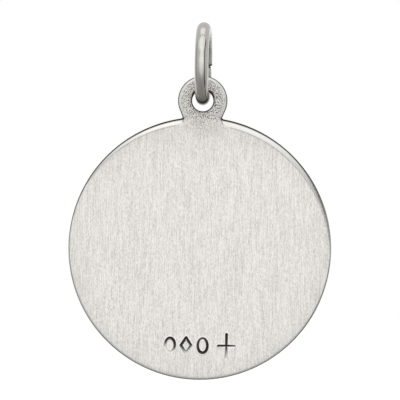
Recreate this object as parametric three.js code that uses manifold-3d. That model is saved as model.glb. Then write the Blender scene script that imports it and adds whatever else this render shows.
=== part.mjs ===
// A round religious medal pendant in silver: a die-struck disc with a pierced ear, hanging from a jump ring.
// Millimetres, +Z up. The plain back of the medal faces -Y and its struck front faces +Y.
// The origin is where a chain carries the pendant: the inside of the jump ring, at its top.
import * as THREE from "three";
import { mergeVertices } from "three/addons/utils/BufferGeometryUtils.js";
import Module from "manifold-3d";

const wasm = await Module();
wasm.setup();

// Jump ring
const WIRE_DIAMETER = 1.05;
const RING_OUTER_DIAMETER = 6.34;
const RING_YAW = 3.3; // degrees that the ring is turned about the vertical, off square to the medal
const SPLIT_GAP = 0.06; // the butt joint where the wire was cut
const SPLIT_ANGLE = 1; // degrees below the ring's centre, on the side of the medal's front

// Ear: the pierced tab on top of the disc, flush with the medal's back
const WIRE_PLAY = 0.57; // by which the hole is wider than the wire
const WIRE_CLEARANCE = 0.06; // between the wire and the edges of the hole that rest on it
const HOLE_EDGE_BREAK = 0.06;
const HOLE_OVER_DISC = 0.44; // from the top of the disc up to the lowest point of the hole
const EAR_WALL = 1.07; // of metal round the hole
const EAR_THICKNESS = 1.0;
const EAR_EDGE_BREAK = 0.1;
const NECK_WIDTH = 2.94; // across the ear where it meets the outline of the disc
const NECK_FLARE = 0.6; // radius by which the ear's flat back spreads into the disc's

// Disc
const DISC_DIAMETER = 20.0;
const DISC_THICKNESS = 1.6;
const RIM_WIDTH = 0.9;
const RIM_HEIGHT = 0.45; // of the rim above the struck field on the front
const RIM_ROUND = 0.16;
const RIM_DRAFT = 0.14; // how far the inner wall of the rim leans outwards

// Bevel on the back. The flat field is a circle set off centre, so the bevel is widest beside the ear.
const BEVEL_WIDTH = 0.5;
const BEVEL_SHIFT = 0.57;
const BEVEL_SLOPE = 20; // degrees
const BEVEL_DIRECTION = 76; // degrees from +X towards +Z, where the bevel is widest

// Struck front: a plain Latin cross on rays, inside a thin raised line
const LINE_INSET = 0.9; // from the foot of the rim to the line
const LINE_WIDTH = 0.24;
const LINE_RELIEF = 0.14;
const CROSS_MARGIN = 2.6; // from the line to the top and to the foot of the cross
const CROSS_SPAN = 0.66; // width of the cross, as a share of its height
const CROSS_HEAD = 0.31; // height above the crossing, as a share of the whole height
const CROSS_ARM = 1.4;
const CROSS_FLARE = 0.3; // by which each side of an arm spreads towards its end
const CROSS_RELIEF = 0.34;
const CROSS_DRAFT = 0.12;
const RAY_COUNT = 32;
const RAY_WIDTH = 0.86;
const RAY_RELIEF = 0.16;
const RAY_MARGIN = 0.35; // from the line to the tip of a long ray
const RAY_STEP = 1.9; // by which every second ray is shorter

// Plain punch marks in a row, low on the back
const MARK_STROKE = 0.18;
const MARK_DEPTH = 0.1;
const MARK_RISE = 2.6; // from the lower edge of the disc up to the middle of the row
const MARKS = [
  { form: "ring", across: -2.12, width: 0.95, height: 1.3 },
  { form: "lozenge", across: -0.9, width: 1.0, height: 1.4 },
  { form: "ring", across: 0.36, width: 0.95, height: 1.3 },
  { form: "cross", across: 2.17, width: 1.45, height: 2.0 },
];

// How finely round shapes are cut into flats
const DISC_SEGMENTS = 120;
const RING_SEGMENTS = 72;
const WIRE_SIDES = 16;
const HOLE_SEGMENTS = 40;
const MARK_SEGMENTS = 20;
const ARC_SEGMENTS = 10;
const RIM_SEGMENTS = 3;
const OVERCUT = 1.0; // how far a cutter runs past the face that it cuts
const ROOT = 0.5; // how far raised work runs down into the metal that carries it

const rad = THREE.MathUtils.degToRad;

// The medal is drawn with x across, y up and z towards its back, about the centre of the disc.
// The middle of the ear's thickness is at z = 0.
const wireRadius = WIRE_DIAMETER / 2;
const discRadius = DISC_DIAMETER / 2;
const holeRadius = (WIRE_DIAMETER + WIRE_PLAY) / 2;
const earRadius = holeRadius + EAR_WALL;
const holeHeight = discRadius + HOLE_OVER_DISC + holeRadius;
const holeHalfLength = EAR_THICKNESS / 2 - HOLE_EDGE_BREAK;
const back = EAR_THICKNESS / 2;
const front = back - DISC_THICKNESS;
const field = front + RIM_HEIGHT;
const fieldRadius = discRadius - RIM_WIDTH;
const lineRadius = fieldRadius - LINE_INSET;
const crossHeight = 2 * (lineRadius - CROSS_MARGIN);
const crossHead = CROSS_HEAD * crossHeight;
const crossing = crossHeight / 2 - crossHead;

// The ring's centre sits over the hole so that the wire just clears the edges of the hole that hang on it.
const ringRadius = RING_OUTER_DIAMETER / 2 - wireRadius;
const ringInside = ringRadius - wireRadius;
const ringOverHole = holeRadius + Math.sqrt((ringInside - WIRE_CLEARANCE) ** 2 - holeHalfLength ** 2);
const ringCentreHeight = -ringInside;
const discCentreHeight = ringCentreHeight - ringOverHole - holeHeight;

// A closed three.js geometry as a solid that can be cut and joined.
function solid(geometry) {
  const bare = new THREE.BufferGeometry().setAttribute("position", geometry.getAttribute("position"));
  bare.setIndex(geometry.index);
  const merged = mergeVertices(bare);
  const corners = merged.index.array;
  const kept = [];
  for (let i = 0; i < corners.length; i += 3) {
    const [a, b, c] = corners.slice(i, i + 3);
    if (a !== b && b !== c && c !== a) kept.push(a, b, c);
  }
  const mesh = new wasm.Mesh({
    numProp: 3,
    vertProperties: merged.attributes.position.array,
    triVerts: new Uint32Array(kept),
  });
  return new wasm.Manifold(mesh);
}

// A solid back as a named mesh in its own material.
function namedMesh(name, made, material) {
  const { vertProperties, triVerts } = made.getMesh();
  const geometry = new THREE.BufferGeometry()
    .setAttribute("position", new THREE.BufferAttribute(vertProperties, 3))
    .setIndex(new THREE.BufferAttribute(triVerts, 1))
    .toNonIndexed();
  geometry.computeVertexNormals();
  const mesh = new THREE.Mesh(geometry, material);
  mesh.name = name;
  return mesh;
}

// A profile of [radius, z] pairs turned about the z axis. It runs outwards at its high end and back in below.
function turned(profile, segments) {
  const points = profile.map(([r, z]) => new THREE.Vector2(r, z)).reverse();
  const geometry = new THREE.LatheGeometry(points, segments);
  return solid(geometry.rotateX(Math.PI / 2));
}

// A flat outline given thickness from z = low to z = high, with an optional break on both edges.
function plate(shape, low, high, edge = 0) {
  const geometry = new THREE.ExtrudeGeometry(shape, {
    depth: high - low - 2 * edge,
    bevelEnabled: edge > 0,
    bevelThickness: edge,
    bevelSize: edge,
    bevelOffset: -edge,
    bevelSegments: 2,
  });
  return solid(geometry.translate(0, 0, low + edge));
}

function arcPoints(centre, radius, from, to, steps) {
  const points = [];
  for (let i = 0; i <= steps; i++) {
    const angle = from + ((to - from) * i) / steps;
    points.push(new THREE.Vector2(radius, 0).rotateAround(new THREE.Vector2(), angle).add(centre));
  }
  return points;
}

// Round disc, flat on the back, with a raised rim on the front that is rounded at both of its edges.
function discBlank() {
  const profile = [[0, back], [discRadius, back]];
  const crownStart = fieldRadius + RIM_DRAFT;
  for (let i = 0; i <= RIM_SEGMENTS; i++) {
    const lean = (i / RIM_SEGMENTS) * (Math.PI / 2);
    const drop = RIM_ROUND * (1 - Math.cos(lean));
    profile.push([discRadius - drop, front + RIM_ROUND * (1 - Math.sin(lean))]);
  }
  for (let i = RIM_SEGMENTS; i >= 0; i--) {
    const lean = (i / RIM_SEGMENTS) * (Math.PI / 2);
    const drop = RIM_ROUND * (1 - Math.cos(lean));
    profile.push([crownStart + drop, front + RIM_ROUND * (1 - Math.sin(lean))]);
  }
  profile.push([fieldRadius, field], [0, field]);
  return turned(profile, DISC_SEGMENTS);
}

// All that the bevel leaves of the disc: a wide cone about the centre of the flat field.
function bevelCone() {
  const flatRadius = discRadius - BEVEL_WIDTH + BEVEL_SHIFT;
  const run = 1 / Math.tan(rad(BEVEL_SLOPE)); // sideways for each millimetre down
  const depth = DISC_DIAMETER;
  const profile = [
    [0, back + OVERCUT],
    [flatRadius - OVERCUT * run, back + OVERCUT],
    [flatRadius + depth * run, back - depth],
    [0, back - depth],
  ];
  const shift = new THREE.Vector2(-BEVEL_SHIFT, 0).rotateAround(new THREE.Vector2(), rad(BEVEL_DIRECTION));
  return turned(profile, DISC_SEGMENTS).translate([shift.x, shift.y, 0]);
}

// Ear and neck. The flat back spreads past the bevel, and its foot lies inside the rim of the disc.
function ear() {
  const centre = new THREE.Vector2(0, holeHeight);
  const corner = new THREE.Vector2(NECK_WIDTH / 2, Math.sqrt(discRadius ** 2 - (NECK_WIDTH / 2) ** 2));
  const toCorner = corner.clone().sub(centre);
  const tangent = Math.atan2(toCorner.y, toCorner.x) + Math.acos(Math.min(1, earRadius / toCorner.length()));
  const flareCentre = new THREE.Vector2(corner.x + NECK_FLARE, corner.y);
  const foot = corner.y - NECK_FLARE - 2 * EAR_EDGE_BREAK;
  const right = [
    ...arcPoints(centre, earRadius, Math.PI / 2, tangent, 2 * ARC_SEGMENTS),
    ...arcPoints(flareCentre, NECK_FLARE, Math.PI, 1.5 * Math.PI, ARC_SEGMENTS),
    new THREE.Vector2(flareCentre.x, foot),
  ];
  const left = right.slice(1).reverse().map((p) => new THREE.Vector2(-p.x, p.y));
  return plate(new THREE.Shape([...right, ...left]), -EAR_THICKNESS / 2, back, EAR_EDGE_BREAK);
}

// The hole through the ear, with its edges broken on both faces.
function holeCutter() {
  const wide = holeRadius + HOLE_EDGE_BREAK;
  const face = EAR_THICKNESS / 2;
  const profile = [
    [0, face + OVERCUT],
    [wide, face + OVERCUT],
    [wide, face],
    [holeRadius, holeHalfLength],
    [holeRadius, -holeHalfLength],
    [wide, -face],
    [wide, -face - OVERCUT],
    [0, -face - OVERCUT],
  ];
  return turned(profile, HOLE_SEGMENTS).translate([0, holeHeight, 0]);
}

// Outline of a cross about its crossing. Each arm spreads by its flare from the crossing to its end.
function crossOutline({ height, width, head, arm, flare }) {
  const points = [];
  [head, width / 2, height - head, width / 2].forEach((length, i) => {
    const corners = [[-arm / 2 - flare, length], [arm / 2 + flare, length], [arm / 2, arm / 2]];
    for (const [across, along] of corners) {
      points.push(new THREE.Vector2(across, along).rotateAround(new THREE.Vector2(), -i * (Math.PI / 2)));
    }
  });
  return points;
}

function frontCross() {
  const outline = crossOutline({
    height: crossHeight,
    width: CROSS_SPAN * crossHeight,
    head: crossHead,
    arm: CROSS_ARM,
    flare: CROSS_FLARE,
  });
  const cross = plate(new THREE.Shape(outline), field - CROSS_RELIEF, field + ROOT, CROSS_DRAFT);
  return cross.translate([0, crossing, 0]);
}

// How far it is from the crossing to the raised line, in a direction given from straight up.
function reachToLine(turn) {
  const up = crossing * Math.cos(turn);
  return Math.sqrt(lineRadius ** 2 - crossing ** 2 + up ** 2) - up;
}

// Tapering ridges that spread from the crossing, long and short in turn.
function frontRays() {
  const rays = [];
  for (let i = 0; i < RAY_COUNT; i++) {
    const turn = ((i + 0.5) * 2 * Math.PI) / RAY_COUNT;
    const length = reachToLine(turn) - RAY_MARGIN - (i % 2) * RAY_STEP;
    const ridge = new THREE.ConeGeometry(RAY_WIDTH / 2, length, 4);
    ridge.translate(0, length / 2, 0).scale(1, 1, (2 * RAY_RELIEF) / RAY_WIDTH);
    rays.push(solid(ridge.rotateZ(turn).translate(0, crossing, field)));
  }
  return rays;
}

// The thin raised line between the rays and the rim.
function frontLine() {
  const half = LINE_WIDTH / 2;
  const profile = [
    [lineRadius - half, field],
    [lineRadius - half, field + ROOT],
    [lineRadius + half, field + ROOT],
    [lineRadius + half, field],
    [lineRadius, field - LINE_RELIEF],
    [lineRadius - half, field],
  ];
  return turned(profile, DISC_SEGMENTS);
}

// One punch mark's outline about its own middle.
function markShape({ form, width, height }) {
  if (form === "cross") {
    return new THREE.Shape(crossOutline({ height, width, head: height / 2, arm: MARK_STROKE, flare: 0 }));
  }
  const sides = form === "ring" ? MARK_SEGMENTS : 4;
  const loop = (inset) => {
    const half = new THREE.Vector2(width / 2 - inset, height / 2 - inset);
    return arcPoints(new THREE.Vector2(), 1, 0, 2 * Math.PI, sides).slice(1).map((p) => p.multiply(half));
  };
  const shape = new THREE.Shape(loop(0));
  shape.holes.push(new THREE.Path(loop(MARK_STROKE)));
  return shape;
}

function punchMarks() {
  return MARKS.map((mark) => {
    const punch = plate(markShape(mark), back - MARK_DEPTH, back + OVERCUT);
    return punch.translate([mark.across, MARK_RISE - discRadius, 0]);
  });
}

const brushed = new THREE.MeshStandardMaterial({ color: 0xd9d6cf, roughness: 0.42, metalness: 1 });
brushed.name = "brushed_silver";
const polished = new THREE.MeshStandardMaterial({ color: 0xcfccc4, roughness: 0.18, metalness: 1 });
polished.name = "polished_silver";

// One struck piece: the disc, its ear and the raised work on the front, less the hole and the punch marks.
function medal() {
  let body = discBlank().intersect(bevelCone()).add(ear());
  for (const raised of [frontCross(), frontLine(), ...frontRays()]) body = body.add(raised);
  for (const cut of [holeCutter(), ...punchMarks()]) body = body.subtract(cut);
  const mesh = namedMesh("medal", body, brushed);
  mesh.rotation.x = Math.PI / 2;
  mesh.position.z = discCentreHeight;
  return mesh;
}

// Round wire bent to a ring that stands on edge, cut through once at the butt joint.
function jumpRing() {
  const wire = new THREE.TorusGeometry(ringRadius, wireRadius, WIRE_SIDES, RING_SEGMENTS);
  const saw = new THREE.BoxGeometry(2 * WIRE_DIAMETER, SPLIT_GAP, 2 * WIRE_DIAMETER);
  saw.translate(ringRadius, 0, 0).rotateZ(Math.PI / 2 + rad(SPLIT_ANGLE));
  const mesh = namedMesh("jump_ring", solid(wire).subtract(solid(saw)), polished);
  mesh.rotation.set(0, Math.PI / 2, -rad(RING_YAW), "ZYX");
  mesh.position.z = ringCentreHeight;
  return mesh;
}

const pendant = new THREE.Group();
pendant.add(jumpRing(), medal());

export default pendant;
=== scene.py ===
"""Looks of a round silver religious medal pendant, seen from its plain brushed back.

Each CAD node is replaced by one fine mesh of the same size and place. The medal is drawn in
millimetres about the centre of its disc, with x across, y up and z towards its back, and then
placed in metres.
"""

import math

import bpy
import numpy as np
from mathutils import Matrix, Vector, geometry, kdtree


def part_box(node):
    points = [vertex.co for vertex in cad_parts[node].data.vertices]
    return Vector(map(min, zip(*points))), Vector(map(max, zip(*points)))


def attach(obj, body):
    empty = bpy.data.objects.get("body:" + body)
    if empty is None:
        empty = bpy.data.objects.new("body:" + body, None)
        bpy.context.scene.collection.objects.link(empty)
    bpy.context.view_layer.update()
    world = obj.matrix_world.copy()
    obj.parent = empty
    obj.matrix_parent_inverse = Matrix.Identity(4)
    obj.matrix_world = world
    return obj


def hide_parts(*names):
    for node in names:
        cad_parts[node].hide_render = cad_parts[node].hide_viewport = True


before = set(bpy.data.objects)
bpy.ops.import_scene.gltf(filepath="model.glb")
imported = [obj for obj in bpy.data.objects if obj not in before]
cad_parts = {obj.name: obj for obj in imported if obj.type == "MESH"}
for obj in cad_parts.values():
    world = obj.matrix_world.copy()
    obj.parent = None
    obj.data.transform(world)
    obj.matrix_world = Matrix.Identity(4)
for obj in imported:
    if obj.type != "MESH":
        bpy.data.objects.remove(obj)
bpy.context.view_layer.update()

MM = 0.001

# Sizes that come from the CAD model, in millimetres
medal_low, medal_high = (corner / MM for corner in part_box("medal"))
ring_low, ring_high = (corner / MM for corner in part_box("jump_ring"))
DISC_RADIUS = (medal_high.x - medal_low.x) / 2
DISC_CENTRE_Z = medal_low.z + DISC_RADIUS
BACK = -medal_low.y
FRONT = -medal_high.y
TOP = medal_high.z - DISC_CENTRE_Z

# Ear
EAR_RADIUS = 1.88
HOLE_RADIUS = 0.81
HOLE_HEIGHT = TOP - EAR_RADIUS
EAR_FRONT = -BACK
NECK_HALF_WIDTH = 1.47
NECK_FILLET = 0.16
FLARE_RADIUS = 0.6
FLARE_DEPTH = 0.6
EAR_ROUND = 0.13
EAR_CHAMFER = 0.2
EAR_CHAMFER_DEPTH = 0.065
EAR_EDGE_ROUND = 0.04
EAR_FOOT_FILLET = 0.08
HOLE_ROUND = 0.06

# Disc. Its back edge is rounder low down, and LOW_EDGE_SPAN is in radii below the centre
EDGE_ROUND = 0.12
LOW_EDGE_ROUND = 0.32
LOW_EDGE_SPAN = (-0.1, 0.9)
BEVEL_SLOPE = math.radians(23)
BEVEL_WIDTH = 0.5
BEVEL_SHIFT = 0.57
BEVEL_DIRECTION = math.radians(76)
CREASE = 0.03
RIM_WIDTH = 0.9
RIM_HEIGHT = 0.45
RIM_ROUND = 0.16
RIM_DRAFT = 0.14
RIM_FOOT = 0.02
RIM_CREST = 0.06
FIELD = FRONT + RIM_HEIGHT
FIELD_RADIUS = DISC_RADIUS - RIM_WIDTH

# Struck front
LINE_RADIUS = FIELD_RADIUS - 0.9
LINE_WIDTH = 0.24
LINE_RELIEF = 0.14
BEAD_COUNT = 96
BEAD_RADIUS = 0.24
BEAD_RELIEF = 0.13
CROSS_HEIGHT = 2 * (LINE_RADIUS - 2.6)
CROSS_WIDTH = 0.66 * CROSS_HEIGHT
CROSS_HEAD = 0.31 * CROSS_HEIGHT
CROSSING = CROSS_HEIGHT / 2 - CROSS_HEAD
CROSS_ARM = 1.4
CROSS_FLARE = 0.3
CROSS_RELIEF = 0.34
CROSS_DRAFT = 0.12
CROSS_FOOT = 0.03
CROSS_CREST = 0.02
BORDER_INSET = 0.26
BORDER_WIDTH = 0.07
BORDER_DEPTH = 0.05
RAY_COUNT = 32
RAY_HALF_WIDTH = 0.43
RAY_RELIEF = 0.16
RAY_MARGIN = 0.35
RAY_STEP = 1.9

# Punch marks: place and size, the direction in which each was struck harder, and how unevenly.
# MARK_RING_STEP is the spacing of points on a ring of radius 1
MARK_STROKE = 0.22
MARK_DEPTH = 0.1
MARK_FLATNESS = 2.5
MARK_ROW = 2.6 - DISC_RADIUS
MARK_LIP = 0.02
LIP_PLACE = 0.03
LIP_WIDTH = 0.035
LIGHTEST_STRIKE = 0.06
MARK_RING_STEP = 0.2
MARKS = [
    {"form": "ring", "across": -2.12, "width": 0.95, "height": 1.3, "heavy": 60, "uneven": 0.5},
    {"form": "lozenge", "across": -0.9, "width": 1.0, "height": 1.4, "heavy": 110, "uneven": 0.4},
    {"form": "ring", "across": 0.36, "width": 0.95, "height": 1.3, "heavy": -55, "uneven": 0.28},
    {"form": "cross", "across": 2.17, "width": 1.45, "height": 2.0, "heavy": 125, "uneven": 0.42},
]

# Jump ring. SPLIT_ROWS are the points at each end of the wire: how far they lie along it from the cut,
# and how much thinner the wire is there. SPLIT_BEND, in radians, is how slowly the offset of one end fades
WIRE_RADIUS = 0.524
RING_RADIUS = (ring_high.z - ring_low.z) / 2 - WIRE_RADIUS
RING_CENTRE_Z = (ring_high.z + ring_low.z) / 2
RING_YAW = math.radians(3.3)
SPLIT_GAP = 0.03
SPLIT_OFFSET = 0.1
SPLIT_BEND = 0.3
SPLIT_DROP = math.radians(1)
SPLIT_END = 0.16
SPLIT_ROWS = [
    {"along": 0.0, "thinner": 0.2},
    {"along": 0.0, "thinner": 0.08},
    {"along": 0.01, "thinner": 0.055},
    {"along": 0.03, "thinner": 0.027},
    {"along": 0.07, "thinner": 0.008},
    {"along": 0.12, "thinner": 0.0},
]

# Spacing of mesh points, how many there are where they are counted, and the angle that keeps an edge sharp
COARSE = 0.19
MEDIUM = 0.105
FINE = 0.03
BEAD_STEP = 0.065
LOOP_STEP = 0.075
CURVE_STEP = 0.05
HOLE_STEP = 0.04
FILLET_POINTS = 7
EDGE_ROWS = 7
BORE_ROWS = 3
WIRE_ROWS = 260
WIRE_SIDES = 48
SHARP_ANGLE = math.radians(50)

# How close a mesh point may lie to an earlier one, and a loop to the edge of the metal
LOOP_GAP = 0.009
MARK_GAP = 0.02
BEAD_GAP = 0.035
MEDIUM_GAP = 0.055
COARSE_GAP = 0.1
METAL_GAP = 0.01

# Distances at which loops of mesh points follow an edge or a line
BACK_EDGE_LOOPS = (0.012, 0.03, 0.055, 0.08, 0.11, 0.155, 0.185, 0.25, 0.33)
BACK_HOLE_LOOPS = (0.012, 0.03, 0.06, 0.1, 0.14, 0.19, 0.25)
FLAT_EAR_LOOPS = (0, 0.015, 0.035, 0.065, 0.1, 0.14, -0.02, -0.06)
CREASE_LOOPS = (0.02, -0.01, -0.035, -0.06, -0.1, 0.06)
FRONT_EDGE_LOOPS = (0.012, 0.03, 0.055, 0.09, 0.13, 0.19)
FRONT_HOLE_LOOPS = (0.012, 0.03, 0.06, 0.1, 0.16)
EAR_FOOT_LOOPS = (0, 0.012, 0.03, 0.055, 0.09)
RIM_LOOPS = (-0.03, -0.01, 0.02, 0.05, 0.08, 0.11, 0.14, 0.17, 0.2, 0.25)
LINE_LOOPS = (0, 0.04, -0.04, 0.08, -0.08, 0.12, -0.12, 0.15, -0.15)
CROSS_LOOPS = (-0.04, -0.02, 0.01, 0.04, 0.07, 0.1, 0.13, 0.16)
BORDER_LOOPS = (0, 0.035, -0.035, 0.07, -0.07, 0.11, -0.11)

# The fine mesh of the punch marks: how far it reaches across, up and down, and beside a stroke
MARKS_LEFT = -2.85
MARKS_RIGHT = 3.2
MARKS_REACH = 1.3
MARK_MARGIN = 0.12

# Grid on which the relief of the front is averaged
RELIEF_STEP = 0.07
RELIEF_SPREAD = 0.3
RELIEF_MARGIN = 1

# Limits of the tests on points. FAR stands for distances that aren't worked out, beyond a SEARCH
ON_DISC = DISC_RADIUS + 1e-3
FAR = 9.0
EDGE_SEARCH = 0.5
MARK_SEARCH = 1.4
WELL_INSIDE = 0.1
CHORD_SHARE = 0.998
TINY = 1e-6
SLIVER = 1e-9

# Tarnish and painted shade of the medal, from 0 for clean to 1 for dark. Shade is painted in the neck
# corners, along the crease inside the bevel, round the hole, in its bore and against the upper wall of each
# punch stroke. HEIGHTS are in radii of the disc above its centre,
# EDGE_FADE in widths of the dark line, TURN and SPREAD in degrees, and the other sizes in millimetres
EAR_EDGE_DARKNESS = 0.85
EAR_EDGE_WIDTH = 0.07
DISC_EDGE_DARKNESS = 0.4
DISC_EDGE_WIDTH = 0.09
TOP_EDGE_DARKNESS = 0.6
TOP_EDGE_HEIGHTS = (-0.1, 0.75)
TOP_EDGE_WIDTH = 0.04
TOP_WIDTH_HEIGHTS = (0.75, 0.98)
EDGE_FADE = (0.7, 1.5)
EAR_START = 0.02
CORNER_SHADE = 0.9
CORNER_SIZE = 0.15
CREASE_SHADE = 0.5
CREASE_INSET = 0.04
CREASE_WIDTH = 0.035
CREASE_SPAN = (0.04, 0.15)
HOLE_SHADE = 0.95
HOLE_LINE_WIDTH = 0.07
HOLE_LINE_FADE = 0.06
HOLE_CORNER_WIDTH = 0.1
HOLE_CORNER_TURN = 42
HOLE_CORNER_SPREAD = 18
DIMMING_EDGE = 0.07
DIMMING_REACH = 0.9
DIMMING_TOP = 0.06
DIMMING_TOP_HEIGHTS = (0.6, 0.85)
DIMMING_SPAN = (-0.08, 0.04)
PUNCH_TARNISH_AND_SHADE_SPAN = (0.015, 0.055)
PUNCH_SHADE_RISE = 0.04
WALL_TARNISH = 0.05
BORE_SHADE = 0.85
BORE_REACH = 0.09
EAR_FOOT_TARNISH = 0.8
EAR_FOOT_REACH = 0.35
EAR_FOOT_STEP = 0.2
DARK_DEPTH = 0.09

# Where the medal is rubbed bright, with a painted highlight on the lips beside the punch strokes, where its
# back is brushed, and how grainy its ear is, in millimetres except for the two strengths, EAR_GRAIN and
# HOLE_GRAIN
BRIGHT_HEIGHT = 0.1
HIGHLIGHT_LIP_SPAN = (0.001, 0.01)
GROUND_FADE = 0.06
EAR_GRAIN = 0.75
EAR_GRAIN_OVERLAP = 0.1
HOLE_GRAIN = 0.35
HOLE_GRAIN_REACH = 0.6
BELOW_EAR_SPAN = (DISC_RADIUS - 2.4, DISC_RADIUS + 0.2)
BELOW_EAR_WIDTH = 1.6
CHAMFER_SPAN = (EAR_CHAMFER - 0.03, EAR_CHAMFER + 0.02)

# Painted shade on the ring: at its cut, on the half round the cut, and low down in the ear's hole, each with
# its span along the wire
CUT_SHADE = 1.5
CUT_SPAN = (0.06, 0.24)
CUT_HALF_SHADE = 0.28
CUT_HALF_SPAN = (2.8, 4.9)
LOW_SHADE = 0.34
LOW_SPAN = (0.4, 1.9)

# Brushed silver: grains for each millimetre along X, Y and Z, its colours, the darkest of them for tarnish
# and painted shade, and the depth of its surface in millimetres. A SPAN is the part of a value, mostly a
# noise, that is spread over darks, tones or roughness
NOISE_SPAN = (0.3, 0.7)
SHORT_LINES = (22, 22, 6)
LONG_LINES = (20, 20, 0.7)
LONG_SHARE = 0.42
PITS = (19, 19, 9)
EVEN_GRAIN = (8, 8, 8)
CLOUDS = (0.3, 0.3, 0.3)
CLOUD_SHADE = 0.02
SILVER_DIM = (0.59, 0.57, 0.53, 1)
SILVER = (1.0, 0.976, 0.934, 1)
SILVER_BRIGHT = (1.0, 0.985, 0.95, 1)
SILVER_TARNISH_AND_SHADE = (0.04, 0.036, 0.032, 1)
BEVEL_POLISH = 0.75
BRUSHED_DEPTH = 0.01
TONE_SPAN = (0.3, 0.62)
EVEN_SPAN = (0.2, 0.8)
EVEN_TONES = (0.35, 0.6)
PIT_SPAN = (0.46, 0.6)
PIT_DARK = 0.95
STREAK_SPAN = (0.54, 0.64)
STREAK_DARK = 0.35
DEEP_PIT_SPAN = (0.68, 0.78)
DEEP_PIT_DARK = 0.5
BRUSHED_ROUGHNESS = (0.24, 0.3)
TARNISH_AND_SHADE_ROUGHNESS = 0.2
POLISH_SMOOTHNESS = 0.1

# Polished silver of the ring, in the same way, and the colour of its painted shade
SCRATCHES = (9, 9, 9)
WAVES = (0.8, 0.8, 0.8)
SPECKS = (12, 12, 12)
WIRE_DIM = (0.70, 0.68, 0.64, 1)
WIRE_SILVER = (0.82, 0.798, 0.755, 1)
WIRE_SHADE = (0.05, 0.047, 0.043, 1)
SCRATCH_SHARE = 0.2
WAVE_SHARE = 3.0
POLISHED_DEPTH = 0.004
WIRE_SPECK_SPAN = (0.36, 0.6)
WIRE_SPECKS = (0.1, 2.0)
WIRE_ROUGHNESS = (0.07, 0.13)
WIRE_SHADE_ROUGHNESS = 0.4

# Studio: how bright the surroundings are, by direction. All but lights, shades and shares are parts of a
# direction of length 1, with x to the right, y away from the photograph's side and z up
SIDE_LIGHT = 0.57
FACE_LIGHT = 0.44
FACE_START = 0.6
FACE_START_BEHIND = 0.3
FACE_TURN = (0.0, 0.1)
FACE_FULL = 0.95
TOP_LIGHT = 0.35
TOP_SPAN = (0.42, 0.7)
BEHIND_SHARE = 0.05
BEHIND_SPAN = (-0.1, -0.15)
BEHIND_RISE = (-0.05, 0.3)
BELOW_SHARE = 0.42
BELOW_SHARE_BEHIND = 0.7
BELOW_TURN = (0.1, 0.4)
BELOW_SPAN = (-1.0, 0.1)
OVERHEAD_LIGHT = 0.42
OVERHEAD_SPAN = (0.7, 0.8)
OVERHEAD_SIDES = (0.45, 0.3)
OVERHEAD_BEFORE = (-0.06, -0.02)
OVERHEAD_BEHIND = (0.5, 0.35)
BAND_SIDE = 0.735
BAND_HALF_WIDTH = 0.065
BAND_REACH = 1.6 * BAND_HALF_WIDTH
BAND_SHADE = 0.9
BAND_END = (-0.1, 0.1)
LEFT_SHADE = 0.4
LEFT_SPAN = (-0.95, -0.75)
LEFT_END = (0.05, -0.05)

# Key light, in millimetres and watts
KEY_PLACE = (-40, -110, 190)
KEY_TARGET = (0, 0, -12)
KEY_SIZE = 160
KEY_POWER = 0.008

# Floor
FLOOR_RADIUS = 250
FLOOR_DROP = 8
FLOOR_STEP = FLOOR_RADIUS / 20
FLOOR_GRAIN = (0.2, 0.2, 0.2)
FLOOR_DIM = (0.86, 0.86, 0.85, 1)
FLOOR_BRIGHT = (0.9, 0.9, 0.89, 1)
FLOOR_GLOW = 0.45
FLOOR_ROUGHNESS = 0.7

# Camera: where the photograph has the disc's centre, its scale, and how far it turns the medal clockwise.
# NEAREST and FARTHEST, in metres, are the distances between which it sees
PHOTO_SIZE = 400
DISC_PIXEL = (199.8, 248.5)
PIXELS_PER_MM = 13.15
ROLL = math.radians(1.15)
LENS = 250
SENSOR = 36
NEAREST = 0.01
FARTHEST = 10


def smooth(low, high, value):
    """From 0 at low to 1 at high, with a soft start and end. Low may be the larger of the two."""
    t = np.clip((value - low) / (high - low), 0, 1)
    return t * t * (3 - 2 * t)


def bump(value, width):
    """1 where the value is 0, and less and less on both sides."""
    return np.exp(-(value / width) ** 2)


def lengths(rows):
    """Length of the vector in each row."""
    return np.linalg.norm(rows, axis=1)


def rounded(distance, width, depth=None):
    """How far a rounded edge lies below its face, at a distance in from the edge."""
    share = np.clip(1 - distance / width, 0, 1)
    return (width if depth is None else depth) * (1 - np.sqrt(1 - share ** 2))


def arc(centre, radius, start, end, step=LOOP_STEP):
    count = max(2, int(abs(end - start) * radius / step) + 1)
    angles = np.linspace(start, end, count)
    return np.c_[centre[0] + radius * np.cos(angles), centre[1] + radius * np.sin(angles)]


def line(start, end, step=LOOP_STEP):
    start, end = np.array(start, float), np.array(end, float)
    count = max(2, int(np.linalg.norm(end - start) / step) + 1)
    return start + np.linspace(0, 1, count)[:, None] * (end - start)


def circle(radius, centre=(0, 0), step=LOOP_STEP):
    return arc(centre, radius, 0, 2 * math.pi, step)[:-1]


def segment_distance(points, corners, closed=True):
    """Distance from each point to a line through the corners."""
    ends = np.roll(corners, -1, axis=0) if closed else corners[1:]
    starts = corners if closed else corners[:-1]
    nearest = np.full(len(points), np.inf)
    for a, b in zip(starts, ends):
        run = b - a
        share = np.clip((points - a) @ run / (run @ run), 0, 1)
        nearest = np.minimum(nearest, lengths(points - a - share[:, None] * run))
    return nearest


def inside(points, corners):
    """Whether each point lies inside a closed outline."""
    result = np.zeros(len(points), bool)
    x, y = points.T
    for (ax, ay), (bx, by) in zip(corners, np.roll(corners, -1, axis=0)):
        if ay == by:
            continue
        crosses = ((ay > y) != (by > y)) & (x < ax + (y - ay) * (bx - ax) / (by - ay))
        result ^= crosses
    return result


def signed(points, corners):
    """Distance to a closed outline, positive inside it."""
    return np.where(inside(points, corners), 1, -1) * segment_distance(points, corners)


def mirrored(right):
    """A closed outline from its right half, which runs from the top down to the bottom."""
    left = right[::-1] * [-1, 1]
    keep = np.abs(left[:, 0]) > TINY
    return np.vstack([right, left[keep]])


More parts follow.
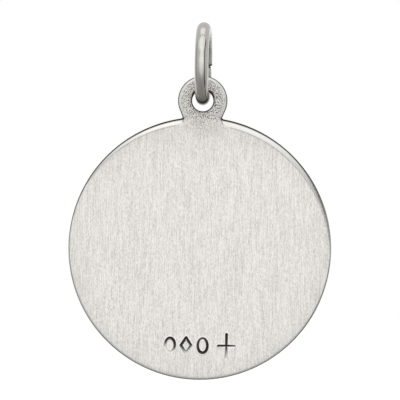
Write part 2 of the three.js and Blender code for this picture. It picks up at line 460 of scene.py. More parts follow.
def neck():
    """Centre of the ear, corner of neck and disc, and angle at which the ear's circle meets the neck."""
    corner = np.array([NECK_HALF_WIDTH, math.sqrt(DISC_RADIUS ** 2 - NECK_HALF_WIDTH ** 2)])
    centre = np.array([0, HOLE_HEIGHT])
    away = corner - centre
    tangent = math.atan2(away[1], away[0]) + math.acos(min(1, EAR_RADIUS / np.linalg.norm(away)))
    return centre, corner, tangent


def medal_outline():
    centre, corner, tangent = neck()
    ear_arc = arc(centre, EAR_RADIUS, math.pi / 2, tangent)
    along = corner - ear_arc[-1]
    along /= np.linalg.norm(along)
    on_disc = math.atan2(corner[1], corner[0]) - NECK_FILLET / DISC_RADIUS
    landing = DISC_RADIUS * np.array([math.cos(on_disc), math.sin(on_disc)])
    t = np.linspace(0, 1, FILLET_POINTS)[:, None]
    start = corner - along * NECK_FILLET
    fillet = (1 - t) ** 2 * start + 2 * t * (1 - t) * corner + t ** 2 * landing
    disc_arc = arc((0, 0), DISC_RADIUS, on_disc, -math.pi / 2)
    return mirrored(np.vstack([ear_arc[:-1], line(ear_arc[-1], start)[:-1], fillet[:-1], disc_arc]))


def flat_ear_outline():
    """The ear's flat back, which spreads over the bevel into the field of the disc."""
    centre, corner, tangent = neck()
    flare_centre = (corner[0] + FLARE_RADIUS, corner[1])
    flare = arc(flare_centre, FLARE_RADIUS, math.pi, 1.5 * math.pi, CURVE_STEP)
    foot = (flare[-1][0], flare[-1][1] - FLARE_DEPTH)
    bottom = line(foot, (0, foot[1]))
    return mirrored(np.vstack([arc(centre, EAR_RADIUS, math.pi / 2, tangent), flare, bottom]))


def cross_outline():
    """A cross whose four arms flare towards their ends."""
    half = CROSS_ARM / 2
    points = []
    arms = [CROSS_HEAD, CROSS_WIDTH / 2, CROSS_HEIGHT - CROSS_HEAD, CROSS_WIDTH / 2]
    for i, length in enumerate(arms):
        turn = -i * math.pi / 2
        spin = np.array([[math.cos(turn), -math.sin(turn)], [math.sin(turn), math.cos(turn)]])
        for corner in [(-half - CROSS_FLARE, length), (half + CROSS_FLARE, length), (half, half)]:
            points.append(spin @ np.array(corner) + [0, CROSSING])
    return np.array(points)


OUTLINE = medal_outline()
HOLE = circle(HOLE_RADIUS, (0, HOLE_HEIGHT), HOLE_STEP)
FLAT_EAR = flat_ear_outline()
CROSS = cross_outline()


def edge_distance(points):
    """Distance in from the outline of the medal, held at a large value well inside it."""
    distance = np.full(len(points), FAR)
    near = lengths(points) > DISC_RADIUS - EDGE_SEARCH
    distance[near] = segment_distance(points[near], OUTLINE)
    return distance


def hole_distance(points):
    """Distance out from the edge of the ear's hole."""
    return lengths(points - [0, HOLE_HEIGHT]) - HOLE_RADIUS


def field_circle():
    """Centre and radius of the ground field of the back, which the bevel goes round."""
    centre = -BEVEL_SHIFT * np.array([math.cos(BEVEL_DIRECTION), math.sin(BEVEL_DIRECTION)])
    return centre, DISC_RADIUS - BEVEL_WIDTH + BEVEL_SHIFT


def mark_stroke(points, mark):
    """Distance from the middle of a mark's stroke."""
    p = points - [mark["across"], MARK_ROW]
    half = np.array([mark["width"], mark["height"]]) / 2 - MARK_STROKE / 2
    if mark["form"] == "ring":
        return segment_distance(p, circle(1, step=MARK_RING_STEP) * half)
    if mark["form"] == "lozenge":
        return segment_distance(p, np.array([(half[0], 0), (0, half[1]), (-half[0], 0), (0, -half[1])]))
    upright = segment_distance(p, np.array([(0, half[1]), (0, -half[1])]), closed=False)
    beam = segment_distance(p, np.array([(half[0], 0), (-half[0], 0)]), closed=False)
    return np.minimum(upright, beam)


def punched(points):
    """How far the punch marks go down, less the metal that they push up beside the strokes."""
    depth = np.zeros(len(points))
    near = np.abs(points[:, 1] - MARK_ROW) < MARK_SEARCH
    for mark in MARKS:
        p = points[near]
        distance = mark_stroke(p, mark)
        heavy = math.radians(mark["heavy"])
        harder = [math.cos(heavy), math.sin(heavy)]
        tilt = (p - [mark["across"], MARK_ROW]) @ harder / (mark["height"] / 2)
        force = np.clip(1 - mark["uneven"] * (1 - tilt), LIGHTEST_STRIKE, 1)
        groove = MARK_DEPTH * np.clip(1 - (distance / (MARK_STROKE / 2)) ** MARK_FLATNESS, 0, 1)
        lip = MARK_LIP * bump(distance - MARK_STROKE / 2 - LIP_PLACE, LIP_WIDTH)
        depth[near] += force * (groove - lip)
    return depth


def back_height(points):
    """Height of the back: the ground field with its bevel, the flat ear, the rounded edges and the marks."""
    centre, radius = field_circle()
    past = lengths(points - centre) - radius
    eased = (past + np.sqrt(past ** 2 + CREASE ** 2)) / 2
    level = BACK - MARK_LIP
    disc = level - math.tan(BEVEL_SLOPE) * eased
    ear_inset = signed(points, FLAT_EAR)
    spread = np.where(ear_inset > 0, level - rounded(ear_inset, EAR_ROUND), disc)
    on_disc = lengths(points) < ON_DISC
    height = np.where(on_disc, np.maximum(disc, spread), level)
    edge = edge_distance(points)
    low = smooth(*LOW_EDGE_SPAN, -points[:, 1] / DISC_RADIUS)
    disc_drop = rounded(edge, EDGE_ROUND + (LOW_EDGE_ROUND - EDGE_ROUND) * low, EDGE_ROUND)
    ear_drop = EAR_CHAMFER_DEPTH * np.clip(1 - edge / EAR_CHAMFER, 0, 1) + rounded(edge, EAR_EDGE_ROUND)
    height -= np.where(on_disc, disc_drop, ear_drop)
    height -= rounded(hole_distance(points), HOLE_ROUND)
    return height - punched(points)


def ray_relief(points):
    """Long and short rays about the crossing, each highest at its root and along its middle."""
    relief = np.zeros(len(points))
    p = points - [0, CROSSING]
    for i in range(RAY_COUNT):
        turn = (i + 0.5) * 2 * math.pi / RAY_COUNT
        up = CROSSING * math.cos(turn)
        reach = math.sqrt(LINE_RADIUS ** 2 - CROSSING ** 2 + up ** 2) - up
        length = reach - RAY_MARGIN - (i % 2) * RAY_STEP
        along = p @ [-math.sin(turn), math.cos(turn)]
        across = np.abs(p @ [math.cos(turn), math.sin(turn)])
        ridge = RAY_RELIEF * (1 - along / length - across / RAY_HALF_WIDTH)
        relief = np.maximum(relief, np.where(along > 0, ridge, 0))
    return relief


def cross_relief(points):
    """A raised cross with drafted sides and an engraved border."""
    inset = signed(points, CROSS)
    side = CROSS_RELIEF * smooth(-CROSS_FOOT, CROSS_DRAFT + CROSS_CREST, inset)
    border = BORDER_DEPTH * bump(inset - BORDER_INSET, BORDER_WIDTH)
    return np.where(inset > -CROSS_FOOT, side - border, 0)


def bead_relief(points):
    """A circle of round beads, midway between the thin line and the rim."""
    bead_circle = (FIELD_RADIUS + LINE_RADIUS + LINE_WIDTH / 2) / 2
    pitch = 2 * math.pi / BEAD_COUNT
    angle = np.arctan2(points[:, 1], points[:, 0])
    nearest = np.round(angle / pitch) * pitch
    centres = bead_circle * np.c_[np.cos(nearest), np.sin(nearest)]
    distance = lengths(points - centres)
    return BEAD_RELIEF * np.sqrt(np.clip(1 - (distance / BEAD_RADIUS) ** 2, 0, 1))


def front_height(points):
    """Height of the front: the rim, the thin line, the beads, the rays and the cross, and the ear."""
    reach = lengths(points)
    ridge = LINE_RELIEF * np.clip(1 - (np.abs(reach - LINE_RADIUS) / (LINE_WIDTH / 2)) ** 2, 0, 1)
    relief = np.maximum.reduce([ridge, ray_relief(points), cross_relief(points), bead_relief(points)])
    crest = reach - FIELD_RADIUS - RIM_DRAFT
    rim = smooth(-RIM_DRAFT - RIM_FOOT, RIM_CREST, crest) * RIM_HEIGHT
    outer = rounded(DISC_RADIUS - np.minimum(reach, DISC_RADIUS), RIM_ROUND)
    disc = FIELD - np.maximum(relief, rim) + outer
    ear = EAR_FRONT + rounded(edge_distance(points), EAR_ROUND)
    ear += rounded(hole_distance(points), HOLE_ROUND)
    ear -= rounded(reach - DISC_RADIUS, EAR_FOOT_FILLET)
    return np.where(reach > ON_DISC, ear, disc)


def offset(corners, distance):
    """A closed outline moved inwards by a distance."""
    run = np.roll(corners, -1, axis=0) - np.roll(corners, 1, axis=0)
    area = np.sum(corners[:, 0] * run[:, 1])
    inward = np.c_[-run[:, 1], run[:, 0]] * np.sign(area) / lengths(run)[:, None]
    return corners + distance * inward


def lattice(low, high, step):
    """Staggered rows of points over a box."""
    rows = np.arange(low[1], high[1], step * math.sqrt(3) / 2)
    columns = np.arange(low[0], high[0], step)
    x, y = np.meshgrid(columns, rows)
    x = x + (np.arange(len(rows)) % 2)[:, None] * step / 2
    return np.c_[x.ravel(), y.ravel()]


def gather(loops, fills):
    """Points of the outline, the hole and the loops, then of the fills wherever no earlier point is near."""
    kept = [OUTLINE, HOLE]
    for points, gap in [(loop, LOOP_GAP) for loop in loops] + fills:
        earlier = np.vstack(kept)
        tree = kdtree.KDTree(len(earlier))
        for i, (x, y) in enumerate(earlier):
            tree.insert((x, y, 0), i)
        tree.balance()
        clear = [tree.find((x, y, 0))[2] > gap for x, y in points]
        kept.append(points[clear])
    return np.vstack(kept)


def triangles(points):
    """Triangles over a face of the medal, as rows of point numbers, counter-clockwise."""
    outer, inner = len(OUTLINE), len(HOLE)
    edges = [(i, (i + 1) % outer) for i in range(outer)]
    edges += [(outer + i, outer + (i + 1) % inner) for i in range(inner)]
    found = geometry.delaunay_2d_cdt([Vector(p) for p in points], edges, [], 0, TINY)
    found_faces, found_sources = found[2], found[3]
    source = np.array([numbers[0] for numbers in found_sources])
    faces = source[np.array(found_faces)]
    a, b, c = points[faces[:, 0]], points[faces[:, 1]], points[faces[:, 2]]
    turn = (b[:, 0] - a[:, 0]) * (c[:, 1] - a[:, 1]) - (b[:, 1] - a[:, 1]) * (c[:, 0] - a[:, 0])
    faces[turn < 0] = faces[turn < 0][:, ::-1]
    middle = (a + b + c) / 3
    keep = lengths(middle) < DISC_RADIUS - WELL_INSIDE
    keep[~keep] = inside(middle[~keep], OUTLINE)
    keep &= lengths(middle - [0, HOLE_HEIGHT]) > HOLE_RADIUS * CHORD_SHARE
    return faces[keep & (np.abs(turn) > SLIVER)]


def trimmed(loops):
    """The loops without the points that lie off the metal or nearly on its edges."""
    loops = [loop[(edge_distance(loop) > METAL_GAP) & inside(loop, OUTLINE)] for loop in loops]
    return [loop[hole_distance(loop) > METAL_GAP] for loop in loops]


def hole_loops(distances):
    return [circle(HOLE_RADIUS + d, (0, HOLE_HEIGHT), CURVE_STEP) for d in distances]


def back_points():
    """Mesh points of the back: loops along its edges, fine rows at the marks and coarse rows elsewhere."""
    centre, radius = field_circle()
    loops = [offset(OUTLINE, d) for d in BACK_EDGE_LOOPS]
    loops += hole_loops(BACK_HOLE_LOOPS)
    loops += [offset(FLAT_EAR, d) for d in FLAT_EAR_LOOPS]
    loops += [circle(radius + d, centre) for d in CREASE_LOOPS]
    marks = lattice((MARKS_LEFT, MARK_ROW - MARKS_REACH), (MARKS_RIGHT, MARK_ROW + MARKS_REACH), FINE)
    to_stroke = np.min([mark_stroke(marks, mark) for mark in MARKS], axis=0)
    marks = marks[to_stroke < MARK_STROKE / 2 + MARK_MARGIN]
    field = lattice((-DISC_RADIUS, -DISC_RADIUS), (DISC_RADIUS, TOP), COARSE)
    return gather(trimmed(loops), [(marks, MARK_GAP), (field, COARSE_GAP)])


def front_points():
    """Mesh points of the front: loops along its edges and relief, and rows at the beads and elsewhere."""
    loops = [offset(OUTLINE, d) for d in FRONT_EDGE_LOOPS]
    loops += hole_loops(FRONT_HOLE_LOOPS)
    loops += [circle(DISC_RADIUS + d) for d in EAR_FOOT_LOOPS]
    loops += [circle(FIELD_RADIUS + d) for d in RIM_LOOPS]
    loops += [circle(LINE_RADIUS + d) for d in LINE_LOOPS]
    sides = np.vstack([line(a, b)[:-1] for a, b in zip(CROSS, np.roll(CROSS, -1, axis=0))])
    loops += [offset(sides, d) for d in CROSS_LOOPS]
    loops += [offset(sides, BORDER_INSET + d) for d in BORDER_LOOPS]
    beads = lattice((-FIELD_RADIUS, -FIELD_RADIUS), (FIELD_RADIUS, FIELD_RADIUS), BEAD_STEP)
    reach = lengths(beads)
    beads = beads[(reach > LINE_RADIUS) & (reach < FIELD_RADIUS)]
    field = lattice((-DISC_RADIUS, -DISC_RADIUS), (DISC_RADIUS, TOP), MEDIUM)
    return gather(trimmed(loops), [(beads, BEAD_GAP), (field, MEDIUM_GAP)])


def sunk(points, heights):
    """How far each point of the front lies below the average of the relief around it."""
    side = DISC_RADIUS + RELIEF_MARGIN
    axis = np.arange(-side, side, RELIEF_STEP)
    grid = np.stack(np.meshgrid(axis, axis), axis=-1)
    relief = front_height(grid.reshape(-1, 2)).reshape(grid.shape[:2])
    relief[np.linalg.norm(grid, axis=2) > DISC_RADIUS] = FRONT
    wave = np.fft.fftfreq(len(axis), RELIEF_STEP)
    blur = np.exp(-2 * (math.pi * RELIEF_SPREAD) ** 2 * (wave[:, None] ** 2 + wave[None, :] ** 2))
    around = np.fft.ifft2(np.fft.fft2(relief) * blur).real
    at = np.clip((points - axis[0]) / RELIEF_STEP, 0, len(axis) - 1 - TINY)
    x, y = at.astype(int).T
    u, v = (at - at.astype(int)).T
    low = around[y, x] * (1 - u) + around[y, x + 1] * u
    high = around[y + 1, x] * (1 - u) + around[y + 1, x + 1] * u
    depth = heights - low * (1 - v) - high * v
    return np.where(lengths(points) > DISC_RADIUS, 0, depth)


def bevel_width(points):
    """How wide the bevel of the back is, in the direction of each point from the disc's centre."""
    turn = np.arctan2(points[:, 1], points[:, 0]) - BEVEL_DIRECTION
    return BEVEL_WIDTH - BEVEL_SHIFT * (1 - np.cos(turn))


def edge_darkening(points):
    """A dark line along the outer edge, wider and darker towards the top of the disc."""
    height = points[:, 1] / DISC_RADIUS
    on_ear = lengths(points) > DISC_RADIUS + EAR_START
    disc_strength = DISC_EDGE_DARKNESS + TOP_EDGE_DARKNESS * smooth(*TOP_EDGE_HEIGHTS, height)
    disc_width = DISC_EDGE_WIDTH + TOP_EDGE_WIDTH * smooth(*TOP_WIDTH_HEIGHTS, height)
    strength = np.where(on_ear, EAR_EDGE_DARKNESS, disc_strength)
    width = np.where(on_ear, EAR_EDGE_WIDTH, disc_width)
    return strength * (1 - smooth(*EDGE_FADE, edge_distance(points) / width))


def corner_painted_shade(points):
    """Painted shade in the corners where the neck of the ear meets the disc."""
    right = np.c_[np.abs(points[:, 0]), points[:, 1]]
    return CORNER_SHADE * bump(lengths(right - neck()[1]), CORNER_SIZE)


def crease_painted_shade(points, from_crease):
    """A painted shade line in the crease just inside the bevel, wherever the bevel is wide enough and the
    ear doesn't cover it.
    """
    line_shade = CREASE_SHADE * bump(from_crease, CREASE_WIDTH)
    crease = line_shade * smooth(*CREASE_SPAN, bevel_width(points))
    crease[inside(points, FLAT_EAR)] = 0
    return crease


def hole_painted_shade(points):
    """A painted shade line round the hole, wider up on both sides."""
    arm = points - [0, HOLE_HEIGHT]
    turn = np.degrees(np.arctan2(arm[:, 1], np.abs(arm[:, 0])))
    width = HOLE_LINE_WIDTH + HOLE_CORNER_WIDTH * bump(turn - HOLE_CORNER_TURN, HOLE_CORNER_SPREAD)
    return HOLE_SHADE * (1 - smooth(width, width + HOLE_LINE_FADE, hole_distance(points)))


def field_dimming(points, from_crease):
    """A faint dimness of the ground field towards its edge and its top."""
    edge = DIMMING_EDGE * bump(DISC_RADIUS - lengths(points), DIMMING_REACH)
    top = DIMMING_TOP * smooth(*DIMMING_TOP_HEIGHTS, points[:, 1] / DISC_RADIUS)
    return (edge + top) * (1 - smooth(*DIMMING_SPAN, from_crease))


def back_tarnish_and_shade(points):
    """How dark the back is, from 0 to 1, by tarnish and painted shade: the darkest of its kinds at each
    point.
    """
    from_crease = lengths(points) - DISC_RADIUS + bevel_width(points) + CREASE_INSET
    # Patina in the punch strokes, moved up so that it lies against the upper wall of each stroke as painted
    # shade and leaves the lower wall bright.
    struck = smooth(*PUNCH_TARNISH_AND_SHADE_SPAN, punched(points - [0, PUNCH_SHADE_RISE]))
    kinds = [struck, edge_darkening(points), corner_painted_shade(points), crease_painted_shade(points, from_crease)]
    kinds += [hole_painted_shade(points), field_dimming(points, from_crease)]
    return np.maximum.reduce(kinds)


def wall(corners, first, second, heights_a, heights_b, rows, start):
    """Points and faces of an upright wall between two closed loops of point numbers."""
    levels = np.linspace(0, 1, rows + 2)[1:-1]
    points = [np.c_[corners, heights_a + (heights_b - heights_a) * t] for t in levels]
    count = len(corners)
    lines = [first, *[start + i * count + np.arange(count) for i in range(rows)], second]
    faces = [np.c_[a, np.roll(a, -1), np.roll(b, -1), b] for a, b in zip(lines, lines[1:])]
    return np.vstack(points), np.vstack(faces)


def make_piece(name, points, faces, **layers):
    """A smooth mesh object from points in metres, with a named number for each point in every layer."""
    used = np.unique(np.concatenate([np.ravel(group) for group in faces]))
    number = np.zeros(len(points), int)
    number[used] = np.arange(len(used))
    mesh = bpy.data.meshes.new(name)
    corners = [face for group in faces for face in number[group].tolist()]
    mesh.from_pydata(points[used].tolist(), [], corners)
    for layer_name, values in layers.items():
        made = mesh.attributes.new(layer_name, "FLOAT", "POINT")
        made.data.foreach_set("value", values[used].astype(np.float32))
    mesh.validate()
    mesh.shade_smooth()
    mesh.set_sharp_from_angle(angle=SHARP_ANGLE)
    piece = bpy.data.objects.new(name, mesh)
    bpy.context.scene.collection.objects.link(piece)
    return piece


def ear_grain(points, on_back):
    """How grainy the back is: all over the ear, most round its hole, and fading out just below it."""
    across, up = points[:, 0], points[:, 1]
    below_ear = EAR_GRAIN * (smooth(*BELOW_EAR_SPAN, up) * bump(across, BELOW_EAR_WIDTH))
    near_hole = EAR_GRAIN + HOLE_GRAIN * bump(hole_distance(points[:, :2]), HOLE_GRAIN_REACH)
    grainy = np.where(up > DISC_RADIUS - EAR_GRAIN_OVERLAP, near_hole, below_ear) * on_back
    grainy[on_back] *= smooth(*CHAMFER_SPAN, edge_distance(points[on_back, :2]))
    return grainy


def medal_layers(points, on_back, on_front):
    """How tarnished or painted with shade, brushed, grainy, rubbed or painted with highlight, and bevelled
    each point of the medal is, for its material.
    """
    back, front = points[on_back, :2], points[on_front, :2]
    front_z = points[on_front, 2]
    front_sunk = sunk(front, front_z)
    # Painted shade in the bore of the ear's hole; the outer wall keeps a faint tarnish.
    bore = BORE_SHADE * (1 - smooth(0.0, BORE_REACH, hole_distance(points[:, :2])))
    patina = np.maximum(WALL_TARNISH, bore)
    patina[on_back] = back_tarnish_and_shade(back)
    ear_foot = EAR_FOOT_TARNISH * smooth(DISC_RADIUS + EAR_FOOT_REACH, DISC_RADIUS, lengths(front))
    ear_foot *= front_z > FIELD + EAR_FOOT_STEP
    recess = front_sunk / DARK_DEPTH
    patina[on_front] = np.maximum.reduce([patina[on_front], recess, ear_foot]).clip(0, 1)
    worn_and_highlight = np.zeros(len(points))
    # On the back, a painted highlight on the raised lips beside the punch strokes, as rubbed-bright silver;
    # on the front, wear on the high relief.
    worn_and_highlight[on_back] = smooth(*HIGHLIGHT_LIP_SPAN, -punched(back))
    worn_and_highlight[on_front] = (-front_sunk / BRIGHT_HEIGHT).clip(0, 1)
    ground = np.where(on_back, smooth(-GROUND_FADE, 0.0, points[:, 2] - BACK + MARK_LIP), 0)
    bevel = np.where(on_back, 1 - ground, 0)
    ear = ear_grain(points, on_back)
    return {"patina": patina, "ground": ground, "ear": ear, "worn_and_highlight": worn_and_highlight, "bevel": bevel}


def medal_piece():
    """One closed mesh: the back, the front, the wall round the outside and the bore of the ear's hole."""
    back, front = back_points(), front_points()
    back_z, front_z = back_height(back), front_height(front)
    outer = np.arange(len(OUTLINE))
    hole = len(OUTLINE) + np.arange(len(HOLE))
    turned = len(back)
    start = turned + len(front)
    rim, rim_faces = wall(OUTLINE, outer, turned + outer, back_z[outer], front_z[outer], EDGE_ROWS, start)
    start_bore = start + len(rim)
    bore, bore_faces = wall(HOLE, hole, turned + hole, back_z[hole], front_z[hole], BORE_ROWS, start_bore)
    points = np.vstack([np.c_[back, back_z], np.c_[front, front_z], rim, bore])
    faces = [triangles(back), turned + triangles(front)[:, ::-1], rim_faces, bore_faces]
    placed = np.c_[points[:, 0], -points[:, 2], points[:, 1] + DISC_CENTRE_Z] * MM
    numbers = np.arange(len(points))
    on_back = numbers < turned
    on_front = ~on_back & (numbers < start)
    return make_piece("medal_struck", placed, faces, **medal_layers(points, on_back, on_front))


def ring_painted_shade(turn):
    """How dark the painted shade on each row of the wire is. The half with the cut faces away from the
    photograph's side.
    """
    from_cut = np.minimum(turn, 2 * math.pi - turn) * RING_RADIUS
    from_low = np.abs(turn - 1.5 * math.pi) * RING_RADIUS
    cut = CUT_SHADE * (1 - smooth(*CUT_SPAN, from_cut))
    cut_half = CUT_HALF_SHADE * (1 - smooth(*CUT_HALF_SPAN, from_cut))
    low = LOW_SHADE * (1 - smooth(*LOW_SPAN, from_low))
    return np.maximum.reduce([cut, cut_half, low])


def ring_piece():
    """Round wire from one side of its butt joint to the other, with eased ends, one a little askew."""
    half_gap = SPLIT_GAP / 2 / RING_RADIUS
    ease = np.array([row["along"] for row in SPLIT_ROWS]) / RING_RADIUS
    thinner = np.array([row["thinner"] for row in SPLIT_ROWS])
    body_start = half_gap + SPLIT_END / RING_RADIUS
    body = np.linspace(body_start, 2 * math.pi - body_start, WIRE_ROWS)
    turn = np.concatenate([half_gap + ease, body, 2 * math.pi - half_gap - ease[::-1]])
    radius = WIRE_RADIUS - np.concatenate([thinner, np.zeros(len(body)), thinner[::-1]])
    askew = -SPLIT_OFFSET * np.exp((turn - 2 * math.pi) / SPLIT_BEND)
    around = np.linspace(0, 2 * math.pi, WIRE_SIDES, endpoint=False)
    angle = turn[:, None] - SPLIT_DROP
    across = radius[:, None] * np.sin(around) + askew[:, None]
    out = RING_RADIUS + radius[:, None] * np.cos(around)
    points = np.stack([across, out * np.cos(angle), out * np.sin(angle)], axis=-1)
    rows, sides = points.shape[:2]
    numbers = np.arange(rows * sides).reshape(rows, sides)
    side = np.roll(numbers, -1, axis=1)
    skin = np.stack([numbers[:-1], numbers[1:], side[1:], side[:-1]], axis=-1).reshape(-1, 4)
    centres = points[[0, -1]].mean(axis=1)
    first = np.c_[np.full(sides, rows * sides), numbers[0], side[0]]
    last = np.c_[np.full(sides, rows * sides + 1), side[-1], numbers[-1]]
    yaw = np.array(Matrix.Rotation(-RING_YAW, 3, "Z"))
    points = np.vstack([points.reshape(-1, 3), centres]) @ yaw.T
    placed = (points + [0, 0, RING_CENTRE_Z]) * MM
    patina = np.append(np.repeat(ring_painted_shade(turn), sides), [CUT_SHADE, CUT_SHADE])
    return make_piece("jump_ring_wire", placed, [skin, first, last], patina=patina)


def add(tree, kind, inputs, **settings):
    """A shader node. Its inputs take values or the outputs of other nodes."""
    made = tree.nodes.new(kind)
    for name, value in settings.items():
        setattr(made, name, value)
    for name, value in inputs.items():
        if isinstance(value, bpy.types.NodeSocket):
            tree.links.new(value, made.inputs[name])
        else:
            made.inputs[name].default_value = value
    return made.outputs


def maths(tree, operation, first, second=0.0):
    return add(tree, "ShaderNodeMath", {0: first, 1: second}, operation=operation)[0]


def times(tree, first, *others):
    for other in others:
        first = maths(tree, "MULTIPLY", first, other)
    return first


def plus(tree, first, second):
    return maths(tree, "ADD", first, second)


def larger(tree, first, second):
    return maths(tree, "MAXIMUM", first, second)


def span(tree, value, low, high, to_low=0.0, to_high=1.0, kind="LINEAR"):
    """A value carried from one range to another, and held at the ends."""
    inputs = {"Value": value, "From Min": low, "From Max": high, "To Min": to_low, "To Max": to_high}
    return add(tree, "ShaderNodeMapRange", inputs, interpolation_type=kind)["Result"]


def mix(tree, share, first, second):
    """A colour between two. Inputs 6 and 7 and output 2 of the node are its colours."""
    return add(tree, "ShaderNodeMix", {0: share, 6: first, 7: second}, data_type="RGBA")[2]


def grain(tree, scale, detail=3.0, roughness=0.6, seed=0.0):
    """Noise in the object's own space. Scale is in grains for each millimetre along X, Y and Z."""
    place = add(tree, "ShaderNodeTexCoord", {})["Object"]
    inputs = {"Vector": place, "Scale": [s / MM for s in scale], "Location": (seed,) * 3}
    scaled = add(tree, "ShaderNodeMapping", inputs)[0]
    inputs = {"Vector": scaled, "Scale": 1.0, "Detail": detail, "Roughness": roughness}
    return add(tree, "ShaderNodeTexNoise", inputs)[0]


def layer(tree, name):
    """The numbers that make_piece stored with each point under a name."""
    return add(tree, "ShaderNodeAttribute", {}, attribute_name=name)["Fac"]


def new_material(name):
    material = bpy.data.materials.new(name)
    material.use_nodes = True
    material.node_tree.nodes.clear()
    return material, material.node_tree


def finish_metal(tree, color, roughness, height, depth):
    """Metal whose surface rises and falls by about depth, in millimetres, as height says."""
    normal = add(tree, "ShaderNodeBump", {"Strength": 1.0, "Distance": depth * MM, "Height": height})[0]
    inputs = {"Base Color": color, "Metallic": 1.0, "Roughness": roughness, "Normal": normal}
    shader = add(tree, "ShaderNodeBsdfPrincipled", inputs)[0]
    add(tree, "ShaderNodeOutputMaterial", {"Surface": shader})


def brushed_silver():
    """Silver with upright brushing on the ground back, a grainy ear, tarnish and painted shade from one
    layer, and a painted highlight on the lips of the punch strokes.
    """
    material, tree = new_material("brushed_silver")
    ground, patina, ear, worn_and_highlight = (layer(tree, name) for name in ("ground", "patina", "ear", "worn_and_highlight"))
    short = grain(tree, SHORT_LINES, detail=1.0)
    long = grain(tree, LONG_LINES, detail=1.0, seed=7.0)
    pits = grain(tree, PITS, detail=1.0, seed=3.0)
    even = grain(tree, EVEN_GRAIN, seed=11.0)
    cloud = grain(tree, CLOUDS, detail=2.0, seed=19.0)
    lines = plus(tree, times(tree, short, 1 - LONG_SHARE), times(tree, long, LONG_SHARE))
    tone = mix(tree, ground, span(tree, even, *EVEN_SPAN, *EVEN_TONES), lines)
    clouded = span(tree, cloud, *NOISE_SPAN, -CLOUD_SHADE, CLOUD_SHADE)
    shade = plus(tree, span(tree, tone, *TONE_SPAN), clouded)
    polish_and_highlight = larger(tree, times(tree, layer(tree, "bevel"), BEVEL_POLISH), worn_and_highlight)
    clean = mix(tree, polish_and_highlight, mix(tree, shade, SILVER_DIM, SILVER), SILVER_BRIGHT)
    streaks = span(tree, long, *STREAK_SPAN, 0.0, STREAK_DARK)
    rough = larger(tree, span(tree, pits, *PIT_SPAN, 0.0, PIT_DARK), streaks)
    deep_pits = span(tree, pits, *DEEP_PIT_SPAN, 0.0, DEEP_PIT_DARK)
    specks = larger(tree, deep_pits, times(tree, rough, ear))
    color = mix(tree, larger(tree, patina, specks), clean, SILVER_TARNISH_AND_SHADE)
    brushed = span(tree, tone, *NOISE_SPAN, *BRUSHED_ROUGHNESS)
    dull = plus(tree, brushed, times(tree, patina, TARNISH_AND_SHADE_ROUGHNESS))
    roughness = maths(tree, "SUBTRACT", dull, times(tree, polish_and_highlight, POLISH_SMOOTHNESS))
    height = plus(tree, tone, times(tree, pits, ear))
    finish_metal(tree, color, roughness, height, BRUSHED_DEPTH)
    return material


def polished_silver():
    """Bright wire with fine scratches and faint waves, and speckled painted shade at the cut, over the far
    half and low down.
    """
    material, tree = new_material("polished_silver")
    patina = layer(tree, "patina")
    scratch = grain(tree, SCRATCHES, detail=4.0, roughness=0.7)
    wave = grain(tree, WAVES, detail=2.0, roughness=0.5, seed=5.0)
    speck = grain(tree, SPECKS, detail=1.0, seed=9.0)
    clean = mix(tree, span(tree, scratch, *NOISE_SPAN), WIRE_DIM, WIRE_SILVER)
    speckled_shade = times(tree, patina, span(tree, speck, *WIRE_SPECK_SPAN, *WIRE_SPECKS))
    color = mix(tree, speckled_shade, clean, WIRE_SHADE)
    scratched = span(tree, scratch, *NOISE_SPAN, *WIRE_ROUGHNESS)
    roughness = plus(tree, scratched, times(tree, patina, WIRE_SHADE_ROUGHNESS))
    height = plus(tree, times(tree, scratch, SCRATCH_SHARE), times(tree, wave, WAVE_SHARE))
    finish_metal(tree, color, roughness, height, POLISHED_DEPTH)
    return material


def soft_light(tree, x, y, z):
    """Brightness by direction: even from the sides, more in front and high up, less behind and below."""
    depth = maths(tree, "ABSOLUTE", y)
    face_start = span(tree, y, *FACE_TURN, FACE_START, FACE_START_BEHIND)
    face = span(tree, depth, face_start, FACE_FULL, 0.0, FACE_LIGHT, "SMOOTHSTEP")
    high = span(tree, z, *TOP_SPAN, 0.0, TOP_LIGHT, "SMOOTHSTEP")
    before = span(tree, y, *BEHIND_SPAN, BEHIND_SHARE, 1.0, "SMOOTHSTEP")
    before = larger(tree, before, span(tree, z, *BEHIND_RISE, 1.0, BEHIND_SHARE))
    front = times(tree, plus(tree, face, high), before)
    below_level = span(tree, y, *BELOW_TURN, BELOW_SHARE, BELOW_SHARE_BEHIND)
    below = span(tree, z, *BELOW_SPAN, below_level, 1.0)
    lamp = overhead_lamp(tree, x, y, z)
    return times(tree, plus(tree, plus(tree, SIDE_LIGHT, front), lamp), below)


def overhead_lamp(tree, x, y, z):
    """A square patch of light straight above and a little behind."""
    depth = times(tree, span(tree, y, *OVERHEAD_BEFORE), span(tree, y, *OVERHEAD_BEHIND))
    width = span(tree, maths(tree, "ABSOLUTE", x), *OVERHEAD_SIDES)
    return times(tree, depth, width, span(tree, z, *OVERHEAD_SPAN, 0.0, OVERHEAD_LIGHT))


def dark_strips(tree, x, y):
    """Share of the light that is left in a narrow upright band on the right and, behind, far to the left."""
    off_band = maths(tree, "ABSOLUTE", maths(tree, "SUBTRACT", x, BAND_SIDE))
    band = span(tree, off_band, BAND_HALF_WIDTH, BAND_REACH, 1 - BAND_SHADE, 1.0, "SMOOTHSTEP")
    band = larger(tree, band, span(tree, y, *BAND_END))
    left = span(tree, x, *LEFT_SPAN, 1 - LEFT_SHADE, 1.0)
    return times(tree, band, larger(tree, left, span(tree, y, *LEFT_END)))


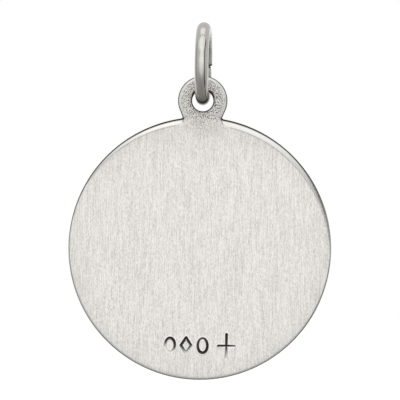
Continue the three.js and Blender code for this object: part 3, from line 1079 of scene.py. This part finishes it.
def studio():
    """Soft surroundings that light the metal. The camera sees plain white in their place."""
    world = bpy.data.worlds.new("studio")
    bpy.context.scene.world = world
    world.use_nodes = True
    tree = world.node_tree
    tree.nodes.clear()
    direction = add(tree, "ShaderNodeTexCoord", {})["Generated"]
    x, y, z = add(tree, "ShaderNodeSeparateXYZ", {0: direction})
    light = times(tree, soft_light(tree, x, y, z), dark_strips(tree, x, y))
    seen = add(tree, "ShaderNodeLightPath", {})["Is Camera Ray"]
    strength = add(tree, "ShaderNodeMix", {0: seen, 2: light, 3: 1.0}, data_type="FLOAT")[0]
    background = add(tree, "ShaderNodeBackground", {"Color": (1, 1, 1, 1), "Strength": strength})[0]
    add(tree, "ShaderNodeOutputWorld", {"Surface": background})


def key_light():
    """One wide soft lamp, high up on the left of the photograph's side."""
    data = bpy.data.lights.new("key", "AREA")
    data.shape = "DISK"
    data.size = KEY_SIZE * MM
    data.energy = KEY_POWER
    lamp = bpy.data.objects.new("key", data)
    lamp.location = Vector(KEY_PLACE) * MM
    lamp.rotation_euler = (Vector(KEY_TARGET) * MM - lamp.location).to_track_quat("-Z", "Y").to_euler()
    bpy.context.scene.collection.objects.link(lamp)


def pale_floor():
    """A plain pale round floor under the hanging pendant."""
    material, tree = new_material("pale_floor")
    color = mix(tree, grain(tree, FLOOR_GRAIN), FLOOR_DIM, FLOOR_BRIGHT)
    inputs = {"Base Color": color, "Roughness": FLOOR_ROUGHNESS}
    inputs |= {"Emission Color": (1, 1, 1, 1), "Emission Strength": FLOOR_GLOW}
    add(tree, "ShaderNodeOutputMaterial", {"Surface": add(tree, "ShaderNodeBsdfPrincipled", inputs)[0]})
    edge = circle(FLOOR_RADIUS, step=FLOOR_STEP)
    points = np.c_[edge, np.full(len(edge), medal_low.z - FLOOR_DROP)] * MM
    floor = make_piece("floor", points, [np.arange(len(edge))[None, :]])
    floor.data.materials.append(material)
    floor.visible_glossy = False
    floor.visible_diffuse = False


def camera():
    """A long lens straight in front of the medal's back, turned and moved as the photograph is."""
    data = bpy.data.cameras.new("camera")
    data.lens = LENS
    data.sensor_width = SENSOR
    data.clip_start = NEAREST
    data.clip_end = FARTHEST
    eye = bpy.data.objects.new("camera", data)
    right = Vector((math.cos(ROLL), 0, math.sin(ROLL)))
    up = Vector((-math.sin(ROLL), 0, math.cos(ROLL)))
    across = (PHOTO_SIZE / 2 - DISC_PIXEL[0]) / PIXELS_PER_MM
    rise = (DISC_PIXEL[1] - PHOTO_SIZE / 2) / PIXELS_PER_MM
    middle = Vector((0, -BACK, DISC_CENTRE_Z)) + across * right + rise * up
    distance = LENS / SENSOR * PHOTO_SIZE / PIXELS_PER_MM
    turn = Matrix((right, up, right.cross(up))).transposed()
    eye.matrix_world = Matrix.Translation((middle - distance * Vector((0, 1, 0))) * MM) @ turn.to_4x4()
    bpy.context.scene.collection.objects.link(eye)
    bpy.context.scene.camera = eye


medal = medal_piece()
medal.data.materials.append(brushed_silver())
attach(medal, "drop")
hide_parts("medal")

ring = ring_piece()
ring.data.materials.append(polished_silver())
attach(ring, "ring")
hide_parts("jump_ring")

studio()
key_light()
pale_floor()
camera()
bpy.context.scene.view_settings.view_transform = "Standard"
